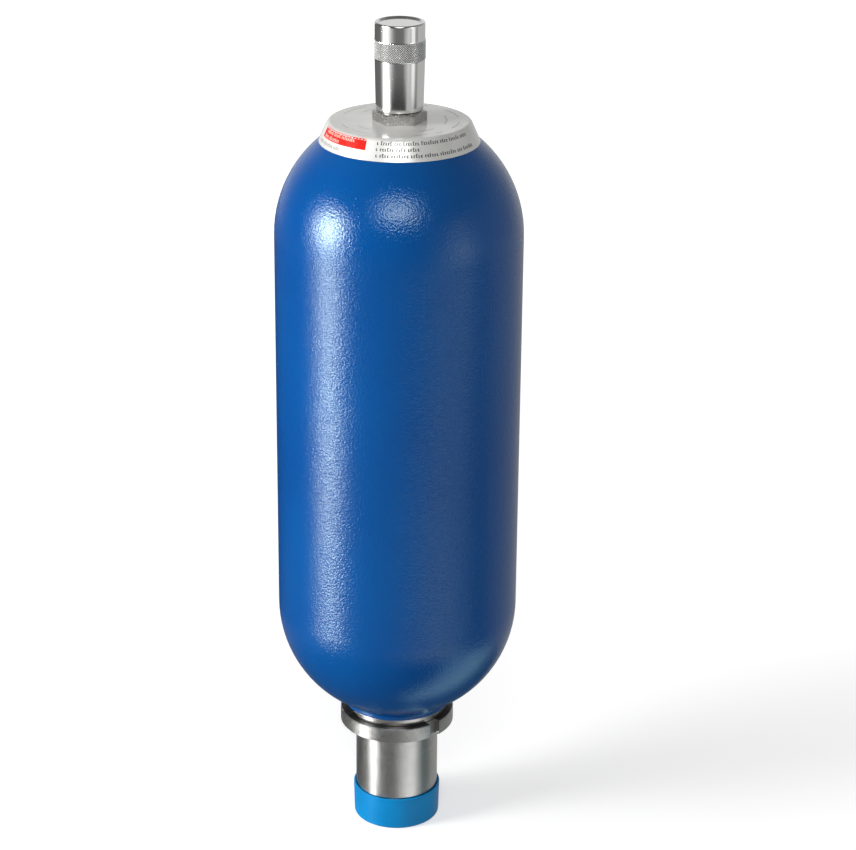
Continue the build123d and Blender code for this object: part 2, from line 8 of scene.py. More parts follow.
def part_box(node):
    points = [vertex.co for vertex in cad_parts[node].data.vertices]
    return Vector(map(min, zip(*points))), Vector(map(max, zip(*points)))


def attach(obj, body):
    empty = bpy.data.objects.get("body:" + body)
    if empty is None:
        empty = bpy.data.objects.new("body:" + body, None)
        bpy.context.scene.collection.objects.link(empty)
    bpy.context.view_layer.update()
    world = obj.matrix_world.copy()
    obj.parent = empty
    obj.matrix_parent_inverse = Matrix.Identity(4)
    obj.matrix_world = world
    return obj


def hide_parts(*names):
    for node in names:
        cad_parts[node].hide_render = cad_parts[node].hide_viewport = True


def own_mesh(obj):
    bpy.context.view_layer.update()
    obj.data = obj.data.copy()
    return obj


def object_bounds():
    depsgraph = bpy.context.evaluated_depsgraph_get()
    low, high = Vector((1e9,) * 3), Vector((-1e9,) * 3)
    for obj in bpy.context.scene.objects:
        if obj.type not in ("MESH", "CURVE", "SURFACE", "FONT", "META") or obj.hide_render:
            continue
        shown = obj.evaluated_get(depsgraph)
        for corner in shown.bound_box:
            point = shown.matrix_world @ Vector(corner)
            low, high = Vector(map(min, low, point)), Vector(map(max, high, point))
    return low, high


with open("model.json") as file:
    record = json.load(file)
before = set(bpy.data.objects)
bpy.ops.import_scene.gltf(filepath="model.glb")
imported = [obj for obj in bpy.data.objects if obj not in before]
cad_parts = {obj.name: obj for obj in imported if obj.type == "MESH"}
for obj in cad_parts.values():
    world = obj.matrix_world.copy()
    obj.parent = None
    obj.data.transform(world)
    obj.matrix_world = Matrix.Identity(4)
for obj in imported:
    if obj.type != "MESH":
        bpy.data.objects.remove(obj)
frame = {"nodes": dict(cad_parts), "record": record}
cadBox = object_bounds()
print("frame loaded,", len(frame["nodes"]), "nodes")

mm = 0.001

# where things are, read from the frame
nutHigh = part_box("lock_nut")[1]
plateLow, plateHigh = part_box("name_plate")
capLow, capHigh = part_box("protective_cap")
hexLow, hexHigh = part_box("stem_nut")
stemLow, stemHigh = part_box("bladder_stem")
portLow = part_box("port_body")[0]

# the camera looks from between -X and -Y, so that a spanner slot shows at the front right
viewSetup = {
    "side": -42.0,          # degrees round from -Y
    "distance": 1.6899,
    "height": 0.98273,
    "pitch": 21.901,
    "yaw": -0.6993,
    "roll": 0.5184,
    "lens": 110.544,
}


def newMaterial(name):
    material = bpy.data.materials.new(name)
    material.use_nodes = True
    tree = material.node_tree
    shader = tree.nodes["Principled BSDF"]
    return material, tree, shader


def addNode(tree, kind, **values):
    node = tree.nodes.new("ShaderNode" + kind)
    for key, value in values.items():
        if hasattr(node, key):
            setattr(node, key, value)
        else:
            node.inputs[key.replace("_", " ")].default_value = value
    return node


def setSockets(shader, **values):
    for key, value in values.items():
        shader.inputs[key.replace("_", " ")].default_value = value


def objectCoords(tree, scale=(1, 1, 1), place=(0, 0, 0)):
    coords = addNode(tree, "TexCoord")
    mapping = addNode(tree, "Mapping")
    mapping.inputs["Scale"].default_value = scale
    mapping.inputs["Location"].default_value = place
    tree.links.new(coords.outputs["Object"], mapping.inputs["Vector"])
    return mapping.outputs["Vector"]


def noise(tree, vector, scale, detail=2.0, rough=0.5):
    node = addNode(tree, "TexNoise", Scale=scale, Detail=detail, Roughness=rough)
    tree.links.new(vector, node.inputs["Vector"])
    return node.outputs["Fac"]


def remap(tree, value, low, high, toLow, toHigh):
    node = addNode(tree, "MapRange")
    node.inputs["From Min"].default_value = low
    node.inputs["From Max"].default_value = high
    node.inputs["To Min"].default_value = toLow
    node.inputs["To Max"].default_value = toHigh
    tree.links.new(value, node.inputs["Value"])
    return node.outputs["Result"]


def mixColors(tree, factor, first, second):
    node = tree.nodes.new("ShaderNodeMix")
    node.data_type = "RGBA"
    tree.links.new(factor, node.inputs[0])
    for socket, colour in ((node.inputs[6], first), (node.inputs[7], second)):
        if isinstance(colour, tuple):
            socket.default_value = (*colour, 1.0)
        else:
            tree.links.new(colour, socket)
    return node.outputs[2]


def addBump(tree, shader, height, strength, distance, under=None):
    node = addNode(tree, "Bump")
    node.inputs["Strength"].default_value = strength
    node.inputs["Distance"].default_value = distance
    tree.links.new(height, node.inputs["Height"])
    if under is not None:
        tree.links.new(under, node.inputs["Normal"])
    tree.links.new(node.outputs["Normal"], shader.inputs["Normal"])
    return node.outputs["Normal"]


def makeShellPaint():
    look = {"deep": (0.0, 0.063, 0.262), "light": (0.0, 0.076, 0.292), "peel": 720.0}
    material, tree, shader = newMaterial("shellPaint")
    spots = objectCoords(tree)
    cloud = noise(tree, spots, 9.0, 3.0, 0.55)
    shade = remap(tree, cloud, 0.35, 0.65, 0.0, 1.0)
    tone = mixColors(tree, shade, look["deep"], look["light"])
    tree.links.new(tone, shader.inputs["Base Color"])
    peel = noise(tree, spots, look["peel"], 2.0, 0.5)
    wave = noise(tree, spots, look["peel"] / 3, 1.0, 0.4)
    tree.links.new(remap(tree, peel, 0.3, 0.7, 0.13, 0.2), shader.inputs["Roughness"])
    first = addBump(tree, shader, wave, 0.3, 0.0002)
    addBump(tree, shader, peel, 0.95, 0.00026, first)
    setSockets(shader, IOR=1.5, Specular_Tint=(0.84, 1.0, 0.88, 1))
    return material


def makeChrome():
    material, tree, shader = newMaterial("capChrome")
    spots = objectCoords(tree, (1, 1, 0.35))
    smear = noise(tree, spots, 160.0, 3.0, 0.6)
    tree.links.new(remap(tree, smear, 0.3, 0.75, 0.05, 0.11), shader.inputs["Roughness"])
    addBump(tree, shader, noise(tree, spots, 420.0, 2.0), 0.02, 0.0001)
    setSockets(shader, Metallic=1.0, Base_Color=(0.82, 0.82, 0.81, 1))
    return material


def makeKnurlChrome():
    # painted shade: the grooves between the diamonds are coloured darker than the tips, by their radius
    look = {
        "groove": (0.28, 0.28, 0.275), "tip": (1.0, 1.0, 0.98),
        "grooveRadius": 16.62 * mm, "tipRadius": 17.0 * mm,
    }
    material, tree, shader = newMaterial("knurlChrome")
    parts = addNode(tree, "SeparateXYZ")
    spots = objectCoords(tree)
    tree.links.new(spots, parts.inputs["Vector"])
    reach = addNode(tree, "CombineXYZ")
    tree.links.new(parts.outputs["X"], reach.inputs["X"])
    tree.links.new(parts.outputs["Y"], reach.inputs["Y"])
    length = addNode(tree, "VectorMath", operation="LENGTH")
    tree.links.new(reach.outputs[0], length.inputs[0])
    height = remap(tree, length.outputs["Value"], look["grooveRadius"], look["tipRadius"], 0.0, 1.0)
    tree.links.new(mixColors(tree, height, look["groove"], look["tip"]), shader.inputs["Base Color"])
    grain = noise(tree, spots, 700.0)
    tree.links.new(remap(tree, grain, 0.3, 0.7, 0.12, 0.22), shader.inputs["Roughness"])
    setSockets(shader, Metallic=0.22)
    return material


def makeTurnedSteel(name, colour, rough, lines=2600.0, depth=0.25):
    material, tree, shader = newMaterial(name)
    rings = objectCoords(tree, (1.6, 1.6, lines))
    fine = noise(tree, rings, 1.0, 3.0, 0.6)
    cloud = noise(tree, objectCoords(tree), 55.0, 3.0, 0.55)
    dark = tuple(c * 0.82 for c in colour)
    shade = remap(tree, cloud, 0.3, 0.7, 0, 1)
    tree.links.new(mixColors(tree, shade, dark, colour), shader.inputs["Base Color"])
    tree.links.new(remap(tree, fine, 0.25, 0.75, rough - 0.06, rough + 0.1), shader.inputs["Roughness"])
    addBump(tree, shader, fine, depth, 0.00008)
    setSockets(shader, Metallic=1.0)
    return material


def makeSatinSteel(name, colour, rough, grain=900.0, shadeFrom=None):
    # above a given height, painted shade darkens the steel almost to black: the nut's top face, under
    # the shell
    material, tree, shader = newMaterial(name)
    spots = objectCoords(tree)
    fine = noise(tree, spots, grain, 3.0, 0.6)
    cloud = noise(tree, spots, 120.0, 2.0)
    dark = tuple(c * 0.75 for c in colour)
    shade = mixColors(tree, remap(tree, cloud, 0.3, 0.7, 0, 1), dark, colour)
    if shadeFrom is not None:
        parts = addNode(tree, "SeparateXYZ")
        tree.links.new(objectCoords(tree), parts.inputs["Vector"])
        # painted shade: almost black above the given height
        paintedShade = remap(tree, parts.outputs["Z"], shadeFrom - 0.1 * mm, shadeFrom, 0.0, 1.0)
        shade = mixColors(tree, paintedShade, shade, (0.055, 0.053, 0.05))
    tree.links.new(shade, shader.inputs["Base Color"])
    tree.links.new(remap(tree, fine, 0.3, 0.7, rough - 0.05, rough + 0.08), shader.inputs["Roughness"])
    addBump(tree, shader, fine, 0.045, 0.00004)
    setSockets(shader, Metallic=1.0)
    return material


def makePlateMetal():
    material, tree, shader = newMaterial("plateMetal")
    spots = objectCoords(tree)
    shade = remap(tree, noise(tree, spots, 60.0, 3.0), 0.3, 0.7, 0, 1)
    tone = mixColors(tree, shade, (0.66, 0.655, 0.625), (0.75, 0.745, 0.715))
    tree.links.new(tone, shader.inputs["Base Color"])
    grain = noise(tree, spots, 700.0)
    tree.links.new(remap(tree, grain, 0.3, 0.7, 0.28, 0.4), shader.inputs["Roughness"])
    addBump(tree, shader, noise(tree, spots, 90.0, 1.0), 0.05, 0.0003)
    setSockets(shader, Metallic=0.12, Coat_Weight=0.8, Coat_Roughness=0.04, Coat_IOR=1.75)
    return material


def makeInk(name, colour):
    material, tree, shader = newMaterial(name)
    fade = noise(tree, objectCoords(tree), 900.0, 2.0)
    lighter = tuple(min(1.0, c * 1.15 + 0.02) for c in colour)
    tone = mixColors(tree, remap(tree, fade, 0.35, 0.75, 0, 1), colour, lighter)
    tree.links.new(tone, shader.inputs["Base Color"])
    setSockets(shader, Roughness=0.5, Specular_IOR_Level=0.12, Coat_Weight=0.25, Coat_Roughness=0.08)
    return material


def makeCapPlastic():
    material, tree, shader = newMaterial("capPlastic")
    spots = objectCoords(tree)
    shade = remap(tree, noise(tree, spots, 40.0, 2.0), 0.35, 0.65, 0, 1)
    tone = mixColors(tree, shade, (0.0, 0.212, 0.51), (0.0, 0.248, 0.58))
    tree.links.new(tone, shader.inputs["Base Color"])
    grain = noise(tree, spots, 1100.0, 2.0)
    tree.links.new(remap(tree, grain, 0.3, 0.7, 0.3, 0.42), shader.inputs["Roughness"])
    addBump(tree, shader, grain, 0.12, 0.00008)
    setSockets(shader, IOR=1.5, Specular_IOR_Level=0.25)
    return material


def makeRubber(name, colour, rough=0.6):
    material, tree, shader = newMaterial(name)
    spots = objectCoords(tree)
    grain = noise(tree, spots, 800.0, 3.0)
    lighter = tuple(c * 1.8 for c in colour)
    shade = remap(tree, noise(tree, spots, 50.0), 0.3, 0.7, 0, 1)
    tree.links.new(mixColors(tree, shade, colour, lighter), shader.inputs["Base Color"])
    tree.links.new(remap(tree, grain, 0.3, 0.7, rough - 0.08, rough + 0.08), shader.inputs["Roughness"])
    addBump(tree, shader, grain, 0.2, 0.0001)
    return material


finishes = {
    "shell_paint": makeShellPaint(),
    "turned_steel": makeTurnedSteel("turnedSteel", (0.60, 0.595, 0.575), 0.21, 2600.0, 0.11),
    "nut_steel": makeSatinSteel("nutSteel", (0.48, 0.47, 0.45), 0.3),
    "plain_steel": makeSatinSteel("plainSteel", (0.56, 0.55, 0.53), 0.3),
    "spring_steel": makeSatinSteel("springSteel", (0.22, 0.22, 0.23), 0.32),
    "black_rubber": makeRubber("blackRubber", (0.012, 0.012, 0.012)),
    "white_plastic": makeRubber("whitePlastic", (0.42, 0.42, 0.40), 0.4),
    "bronze": makeSatinSteel("bushBronze", (0.55, 0.34, 0.13), 0.35),
    "valve_brass": makeSatinSteel("valveBrass", (0.72, 0.50, 0.20), 0.25),
    "plate_metal": makePlateMetal(),
    "cap_plastic": makeCapPlastic(),
    "cap_chrome": makeChrome(),
}
knurlChrome = makeKnurlChrome()
# the lock nut's top face carries painted shade
lockNutSteel = makeSatinSteel("lockNutSteel", (0.48, 0.47, 0.45), 0.3, shadeFrom=nutHigh.z - 0.05 * mm)
hexSteel = makeSatinSteel("hexSteel", (0.62, 0.61, 0.59), 0.27)
redInk = makeInk("redInk", (0.52, 0.006, 0.002))
greyInk = makeInk("greyInk", (0.045, 0.045, 0.042))
faintInk = makeInk("faintInk", (0.26, 0.26, 0.25))
paleInk = makeInk("paleInk", (0.85, 0.50, 0.42))
print("finishes made")


def newPiece(name, mesh, body, materials):
    data = bpy.data.meshes.new(name)
    mesh.to_mesh(data)
    mesh.free()
    piece = bpy.data.objects.new(name, data)
    bpy.context.scene.collection.objects.link(piece)
    for material in materials:
        data.materials.append(material)
    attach(piece, body)
    return piece


def turnProfile(mesh, points, steps):
    # points are (radius, height) in metres; a full turn round Z, merged at the seam
    corners = [mesh.verts.new((r, 0, z)) for r, z in points]
    edges = [mesh.edges.new(pair) for pair in zip(corners, corners[1:])]
    bmesh.ops.spin(
        mesh, geom=corners + edges, cent=(0, 0, 0), axis=(0, 0, 1),
        angle=2 * math.pi, steps=steps, use_merge=True,
    )
    bmesh.ops.remove_doubles(mesh, verts=mesh.verts, dist=1e-6)
    bmesh.ops.recalc_face_normals(mesh, faces=mesh.faces)
    for face in mesh.faces:
        face.smooth = True


def sharpenEdges(mesh, degrees):
    # keeps the turned pieces' corners crisp under smooth shading
    for edge in mesh.edges:
        if len(edge.link_faces) == 2 and edge.calc_face_angle() > math.radians(degrees):
            edge.smooth = False


def arcPoints(centreR, centreZ, radius, start, end, count):
    # a round stretch of a profile, angles in degrees from the outward direction
    turns = [math.radians(start + (end - start) * i / count) for i in range(count + 1)]
    return [(centreR + radius * math.cos(t), centreZ + radius * math.sin(t)) for t in turns]


def aroundView(side, rise, distance, height):
    # a place seen from the shell's axis, side in degrees to the right of the camera's direction
    turn = math.radians(viewSetup["side"] + side)
    flat = distance * math.cos(math.radians(rise))
    up = distance * math.sin(math.radians(rise))
    return Vector((flat * math.sin(turn), -flat * math.cos(turn), height + up))


def makeCamera():
    data = bpy.data.cameras.new("camera")
    data.lens = viewSetup["lens"]
    data.sensor_width = 36.0
    camera = bpy.data.objects.new("camera", data)
    bpy.context.scene.collection.objects.link(camera)
    turn = math.radians(viewSetup["side"])
    away = viewSetup["distance"]
    place = Matrix.Translation((away * math.sin(turn), -away * math.cos(turn), viewSetup["height"]))
    aim = Matrix.Rotation(turn + math.radians(viewSetup["yaw"]), 4, "Z")
    tilt = Matrix.Rotation(math.radians(90 - viewSetup["pitch"]), 4, "X")
    roll = Matrix.Rotation(math.radians(viewSetup["roll"]), 4, "Z")
    camera.matrix_world = place @ aim @ tilt @ roll
    bpy.context.scene.camera = camera


def makeLamp(name, place, target, size, power):
    data = bpy.data.lights.new(name, "AREA")
    data.shape = "RECTANGLE"
    data.size, data.size_y = size
    data.energy = power
    lamp = bpy.data.objects.new(name, data)
    bpy.context.scene.collection.objects.link(lamp)
    aim = (target - place).to_track_quat("-Z", "Y").to_matrix().to_4x4()
    lamp.matrix_world = Matrix.Translation(place) @ aim
    lamp.visible_camera = False
    lamp.visible_glossy = False


# name: ((side, rise, distance, height), size, power)
lampSetup = {
    "keyLamp": ((-68, 12, 1.9, 0.47), (0.6, 0.6), 28),
    "sideLamp": ((-78, 20, 2.4, 0.40), (1.0, 1.0), 27),
    "overCameraLamp": ((-1, 34, 2.2, 0.48), (0.85, 0.6), 15),
    "rightLamp": ((58, 0, 1.9, 0.47), (0.4, 0.5), 2),
}


def makeLamps():
    # soft light for the dull surfaces only: what the glossy ones mirror is in the world
    middle = Vector((0, 0, 0.30))
    for name, (place, size, power) in lampSetup.items():
        makeLamp(name, aroundView(*place), middle, size, power)


# what mirrors and gloss see round about, as (degrees to the right of the camera's side, level)
# for each height, the rows under the horizon first
studioRows = {
    "under": [(-180, 0.1), (45, 0.1), (68, 1.5), (105, 1.5), (125, 0.1), (180, 0.1)],
    "port": [
        (-180, 0.2), (-128, 0.14), (-108, 0.2), (-96, 0.25), (-84, 0.35), (-74, 0.3), (-64, 0.22),
        (-54, 0.22), (-44, 0.26), (-30, 0.28), (-14, 0.3), (2, 0.65), (18, 1.4), (34, 1.8), (50, 1.6),
        (64, 0.5), (78, 0.06), (96, 0.1), (120, 0.4), (180, 0.4),
    ],
    "shellLow": [
        (-180, 0.02), (-96, 0.04), (-84, 0.2), (-76, 1.0), (-69, 2.2), (-61, 1.3), (-53, 0.3),
        (-40, 0.06), (24, 0.06), (38, 0.25), (66, 0.25), (80, 0.08), (100, 0.3), (180, 0.4),
    ],
    "shell": [
        (-180, 0.02), (-96, 0.04), (-85, 1.5), (-77, 12.0), (-69, 40.0), (-61, 24.0), (-53, 4.0),
        (-45, 0.4), (-36, 0.05), (24, 0.05), (38, 0.5), (66, 0.5), (80, 0.08), (100, 0.3), (180, 0.4),
    ],
    "cap": [
        (-180, 0.2), (-158, 0.13), (-106, 0.16), (-97, 0.26), (-90, 0.6), (-82, 1.15), (-72, 1.5),
        (-60, 1.35), (-50, 0.95), (-38, 0.5), (-26, 0.24), (-16, 0.17), (14, 0.18), (24, 0.4),
        (40, 0.68), (52, 0.55), (58, 1.0), (70, 1.0), (76, 0.4), (86, 0.3), (92, 0.5), (160, 0.48),
        (180, 0.5),
    ],
    "over": [
        (-180, 0.75), (-152, 0.6), (-130, 0.12), (-92, 0.08), (-80, 4.0), (-69, 18.0), (-60, 11.0),
        (-50, 1.0), (-40, 0.08), (20, 0.1), (40, 0.6), (58, 2.0), (72, 0.7), (84, 0.4), (130, 0.45),
        (152, 0.6), (180, 0.75),
    ],
    "glow": [
        (-180, 0.75), (-152, 0.6), (-130, 0.12), (-92, 0.1), (-82, 8.0), (-75, 32.0), (-62, 32.0),
        (-55, 8.0), (-46, 0.1), (20, 0.1), (44, 0.4), (58, 1.0), (70, 0.5), (84, 0.35), (130, 0.4),
        (152, 0.6), (180, 0.75),
    ],
    "high": [
        (-180, 0.5), (-150, 0.3), (-120, 0.1), (20, 0.08), (90, 0.2), (150, 0.3), (180, 0.5),
    ],
    "front": [
        (-180, 0.3), (-90, 0.1), (-30, 0.12), (-18, 4.0), (-8, 11.0), (4, 11.0), (14, 4.0), (26, 0.12),
        (90, 0.2), (180, 0.3),
    ],
    "top": [(-180, 0.2), (-20, 0.1), (20, 0.1), (180, 0.2)],
}
rowTints = {"under": (0.6, 0.93, 1.0)}
# sine of the height where one row gives way to the next
studioSteps = [
    ("port", -0.62, -0.56), ("shellLow", -0.465, -0.448), ("shell", -0.43, -0.335),
    ("cap", -0.315, -0.30), ("over", -0.215, -0.18), ("glow", -0.05, 0.05), ("high", 0.30, 0.38),
    ("front", 0.46, 0.50), ("top", 0.66, 0.74),
]


def addStudioRow(tree, around, name):
    ramp = addNode(tree, "ValToRGB")
    tree.links.new(around, ramp.inputs["Fac"])
    marks = ramp.color_ramp.elements
    peak = max(level for _, level in studioRows[name])
    marks.remove(marks[0])
    for number, (degrees, level) in enumerate(studioRows[name]):
        mark = marks[0] if number == 0 else marks.new(degrees / 360 + 0.5)
        mark.position = degrees / 360 + 0.5
        mark.color = (*[level / peak * part for part in rowTints.get(name, (1, 1, 1))], 1)
    scaled = addNode(tree, "VectorMath", operation="SCALE")
    tree.links.new(ramp.outputs["Color"], scaled.inputs[0])
    scaled.inputs["Scale"].default_value = peak
    return scaled.outputs["Vector"]


floorLook = {
    "softWorld": 0.24,      # the world's even light on dull surfaces
    "paper": (0.6, 0.6, 0.6, 1),
    "nearGlow": 0.55,       # added for the camera alone, so that the paper runs to white
    "farGlow": 0.95,
    "nearReach": 0.1,
    "farReach": 1.5,
    "size": 12.0,
    "below": 0.2 * mm,
}


def makeWorld():
    # glossy rays see a studio with dark and bright walls, other rays an even soft light,
    # and the camera a white background
    world = bpy.data.worlds.new("studio")
    world.use_nodes = True
    bpy.context.scene.world = world
    world.cycles.sampling_method = "NONE"
    tree = world.node_tree
    tree.nodes.clear()
    coords = addNode(tree, "TexCoord")
    turned = addNode(tree, "Mapping")
    turned.inputs["Rotation"].default_value = (0, 0, -math.radians(viewSetup["side"]))
    tree.links.new(coords.outputs["Generated"], turned.inputs["Vector"])
    parts = addNode(tree, "SeparateXYZ")
    tree.links.new(turned.outputs["Vector"], parts.inputs["Vector"])
    flip = addNode(tree, "Math", operation="MULTIPLY")
    flip.inputs[1].default_value = -1.0
    tree.links.new(parts.outputs["Y"], flip.inputs[0])
    turn = addNode(tree, "Math", operation="ARCTAN2")
    tree.links.new(parts.outputs["X"], turn.inputs[0])
    tree.links.new(flip.outputs[0], turn.inputs[1])
    around = remap(tree, turn.outputs[0], -math.pi, math.pi, 0.0, 1.0)
    room = addStudioRow(tree, around, "under")
    for name, low, high in studioSteps:
        step = remap(tree, parts.outputs["Z"], low, high, 0.0, 1.0)
        room = mixColors(tree, step, room, addStudioRow(tree, around, name))
    glossy = addNode(tree, "Background")
    tree.links.new(room, glossy.inputs["Color"])
    glossy.inputs["Strength"].default_value = 1.0
    soft = addNode(tree, "Background")
    soft.inputs["Color"].default_value = (1, 1, 1, 1)
    soft.inputs["Strength"].default_value = floorLook["softWorld"]
    white = addNode(tree, "Background")
    white.inputs["Color"].default_value = (1, 1, 1, 1)
    white.inputs["Strength"].default_value = 1.0
    path = addNode(tree, "LightPath")
    firstMix = addNode(tree, "MixShader")
    tree.links.new(path.outputs["Is Glossy Ray"], firstMix.inputs[0])
    tree.links.new(soft.outputs[0], firstMix.inputs[1])
    tree.links.new(glossy.outputs[0], firstMix.inputs[2])
    lastMix = addNode(tree, "MixShader")
    tree.links.new(path.outputs["Is Camera Ray"], lastMix.inputs[0])
    tree.links.new(firstMix.outputs[0], lastMix.inputs[1])
    tree.links.new(white.outputs[0], lastMix.inputs[2])
    output = addNode(tree, "OutputWorld")
    tree.links.new(lastMix.outputs[0], output.inputs["Surface"])


def makeFloor():
    look = floorLook
    material = bpy.data.materials.new("floorPaper")
    material.use_nodes = True
    tree = material.node_tree
    tree.nodes.clear()
    paper = addNode(tree, "BsdfDiffuse")
    paper.inputs["Color"].default_value = look["paper"]
    glow = addNode(tree, "Emission")
    path = addNode(tree, "LightPath")
    level = addNode(tree, "Math", operation="MULTIPLY")
    away = addNode(tree, "VectorMath", operation="LENGTH")
    tree.links.new(objectCoords(tree), away.inputs[0])
    brighter = remap(
        tree, away.outputs["Value"],
        look["nearReach"], look["farReach"], look["nearGlow"], look["farGlow"],
    )
    tree.links.new(brighter, level.inputs[1])
    tree.links.new(path.outputs["Is Camera Ray"], level.inputs[0])
    tree.links.new(level.outputs[0], glow.inputs["Strength"])
    both = addNode(tree, "AddShader")
    tree.links.new(paper.outputs[0], both.inputs[0])
    tree.links.new(glow.outputs[0], both.inputs[1])
    output = addNode(tree, "OutputMaterial")
    tree.links.new(both.outputs[0], output.inputs["Surface"])
    mesh = bmesh.new()
    bmesh.ops.create_grid(mesh, x_segments=1, y_segments=1, size=look["size"])
    data = bpy.data.meshes.new("floor")
    mesh.to_mesh(data)
    mesh.free()
    data.materials.append(material)
    floor = bpy.data.objects.new("floor", data)
    floor.location.z = cadBox[0][2] - look["below"]
    bpy.context.scene.collection.objects.link(floor)
    floor.visible_glossy = False


bpy.context.scene.view_settings.view_transform = "Standard"
makeCamera()
makeLamps()
makeWorld()
makeFloor()
print("camera, lamps, world and floor placed")


slotOfNode = {part["node"]: part["material_slot"] for part in frame["record"]["subparts"]}
for nodeName, node in frame["nodes"].items():
    node.data.materials.clear()
    finish = lockNutSteel if nodeName == "lock_nut" else finishes[slotOfNode[nodeName]]
    node.data.materials.append(finish)


capShape = {
    "columns": 66,          # diamonds round the band
    "rows": 8,
    "grooveDepth": 0.55 * mm,
    "bandRise": 0.4 * mm,
    "bandDrop": 11.5 * mm,  # from the cap's top to the band
    "bandHeight": 13.0 * mm,
    "topRadius": 16.65 * mm,
    "footRadius": 15.9 * mm,
    "dishRadius": 14.15 * mm,
    "dishFloorRadius": 13.4 * mm,
    "dishDepth": 1.0 * mm,
    "edge": 1.0 * mm,
    "footEdge": 0.5 * mm,
    "dishEdge": 0.3 * mm,
    "hold": 0.4 * mm,       # loops this near to a corner keep its shading crisp
    "bore": 11.19 * mm,
    "boreChamfer": 0.8 * mm,
    "chamber": 12.5 * mm,
    "threadLength": 12.0 * mm,
    "roof": 5.0 * mm,
}


def makeProtectiveCap():
    c = capShape
    low, top = capLow.z, capHigh.z
    bandTop = top - c["bandDrop"]
    bandLow = bandTop - c["bandHeight"]
    crest = c["topRadius"] + c["bandRise"]
    rowStep = (c["bandHeight"] - 2 * c["bandRise"]) / (2 * c["rows"])
    bandHeights = [bandLow + c["bandRise"] + rowStep * i for i in range(2 * c["rows"] + 1)]
    points = [(0, top - c["roof"]), (c["chamber"], top - c["roof"])]
    points += [(c["chamber"], low + c["threadLength"]), (c["bore"], low + c["threadLength"])]
    points += [(c["bore"], low + c["boreChamfer"]), (c["bore"] + c["boreChamfer"], low)]
    points += arcPoints(c["footRadius"] - c["footEdge"], low + c["footEdge"], c["footEdge"], -90, 0, 4)
    taper = (c["topRadius"] - c["footRadius"]) / (bandLow - low)
    for rise in (c["footEdge"] + c["hold"], bandLow - low - c["hold"]):
        points.append((c["footRadius"] + taper * rise, low + rise))
    points += [(c["topRadius"], bandLow)]
    points += [(crest, z) for z in bandHeights]
    points += [(c["topRadius"], bandTop), (c["topRadius"], bandTop + c["hold"])]
    points += [(c["topRadius"], top - c["edge"] - c["hold"])]
    points += arcPoints(c["topRadius"] - c["edge"], top - c["edge"], c["edge"], 0, 90, 6)
    points += arcPoints(c["dishRadius"] + c["dishEdge"], top - c["dishEdge"], c["dishEdge"], 90, 140, 3)
    points += [(c["dishFloorRadius"], top - c["dishDepth"]), (0, top - c["dishDepth"])]
    mesh = bmesh.new()
    turnProfile(mesh, points, 2 * c["columns"])
    band = set()
    for vert in mesh.verts:
        flat = Vector((vert.co.x, vert.co.y, 0))
        if flat.length > crest - 1e-5 and bandLow < vert.co.z < bandTop:
            row = round((vert.co.z - bandHeights[0]) / rowStep)
            column = round((math.atan2(vert.co.y, vert.co.x) / (2 * math.pi) + 1) * 2 * c["columns"])
            if (row + column) % 2:
                vert.co -= flat.normalized() * c["grooveDepth"]
            band.add(vert)
    faces = [face for face in mesh.faces if all(vert in band for vert in face.verts)]
    # each diamond's faces meet at its tip, so the quads are cut along the grooves
    diamonds = bmesh.ops.triangulate(mesh, faces=faces, quad_method="SHORT_EDGE")["faces"]
    for face in diamonds:
        face.smooth = False
        face.material_index = 1
    sharpenEdges(mesh, 35)
    chromes = [finishes["cap_chrome"], knurlChrome]
    piece = newPiece("protectiveCap", mesh, "protective_cap", chromes)
    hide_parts("protective_cap")


makeProtectiveCap()
print("protective cap knurled")


hexShape = {
    "flats": 31.75 * mm,
    "bore": 11.14 * mm,
    "turn": -40.8,          # degrees, from -Y to the middle of one flat
    "topInset": 0.3 * mm,
    "boreChamfer": 0.6 * mm,
    "footChamfer": 0.2 * mm,
    "cornerSlope": 30,
    "soft": 0.9 * mm,       # half the width of the softened corner
    "steps": 12,            # per flat
}


def hexReach(turn):
    # distance from the axis to the nut's side, with its corners rounded off
    h = hexShape
    away = (math.degrees(turn) + 90 - h["turn"]) % 60
    away = math.radians(min(away, 60 - away))
    straight = h["flats"] / 2 / math.cos(away)
    rounded = h["flats"] / math.sqrt(3) - h["soft"] * (1 / math.cos(math.radians(30)) - 1)
    return min(straight, rounded)


def makeHexNut():
    h = hexShape
    low, top = hexLow.z, hexHigh.z
    slope = math.tan(math.radians(h["cornerSlope"]))
    topRadius = h["flats"] / 2 - h["topInset"]
    count = 6 * h["steps"]
    mesh = bmesh.new()
    loops = []
    for index in range(count):
        turn = 2 * math.pi * index / count + math.radians(h["turn"] - 90)
        reach = hexReach(turn)
        drop = (reach - topRadius) * slope
        ring = [
            (h["bore"], low), (reach - h["footChamfer"], low), (reach, low + h["footChamfer"]),
            (reach, top - drop), (topRadius, top),
            (h["bore"] + h["boreChamfer"], top), (h["bore"], top - h["boreChamfer"]),
        ]
        loops.append([mesh.verts.new((r * math.cos(turn), r * math.sin(turn), z)) for r, z in ring])
    for first, second in zip(loops, loops[1:] + loops[:1]):
        for corner in range(len(first)):
            after = (corner + 1) % len(first)
            face = mesh.faces.new((first[corner], first[after], second[after], second[corner]))
            face.smooth = True
    bmesh.ops.recalc_face_normals(mesh, faces=mesh.faces)
    sharpenEdges(mesh, 24)
    piece = newPiece("hexNut", mesh, "accumulator", [hexSteel])
    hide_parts("stem_nut")


makeHexNut()
print("hexagon nut made")


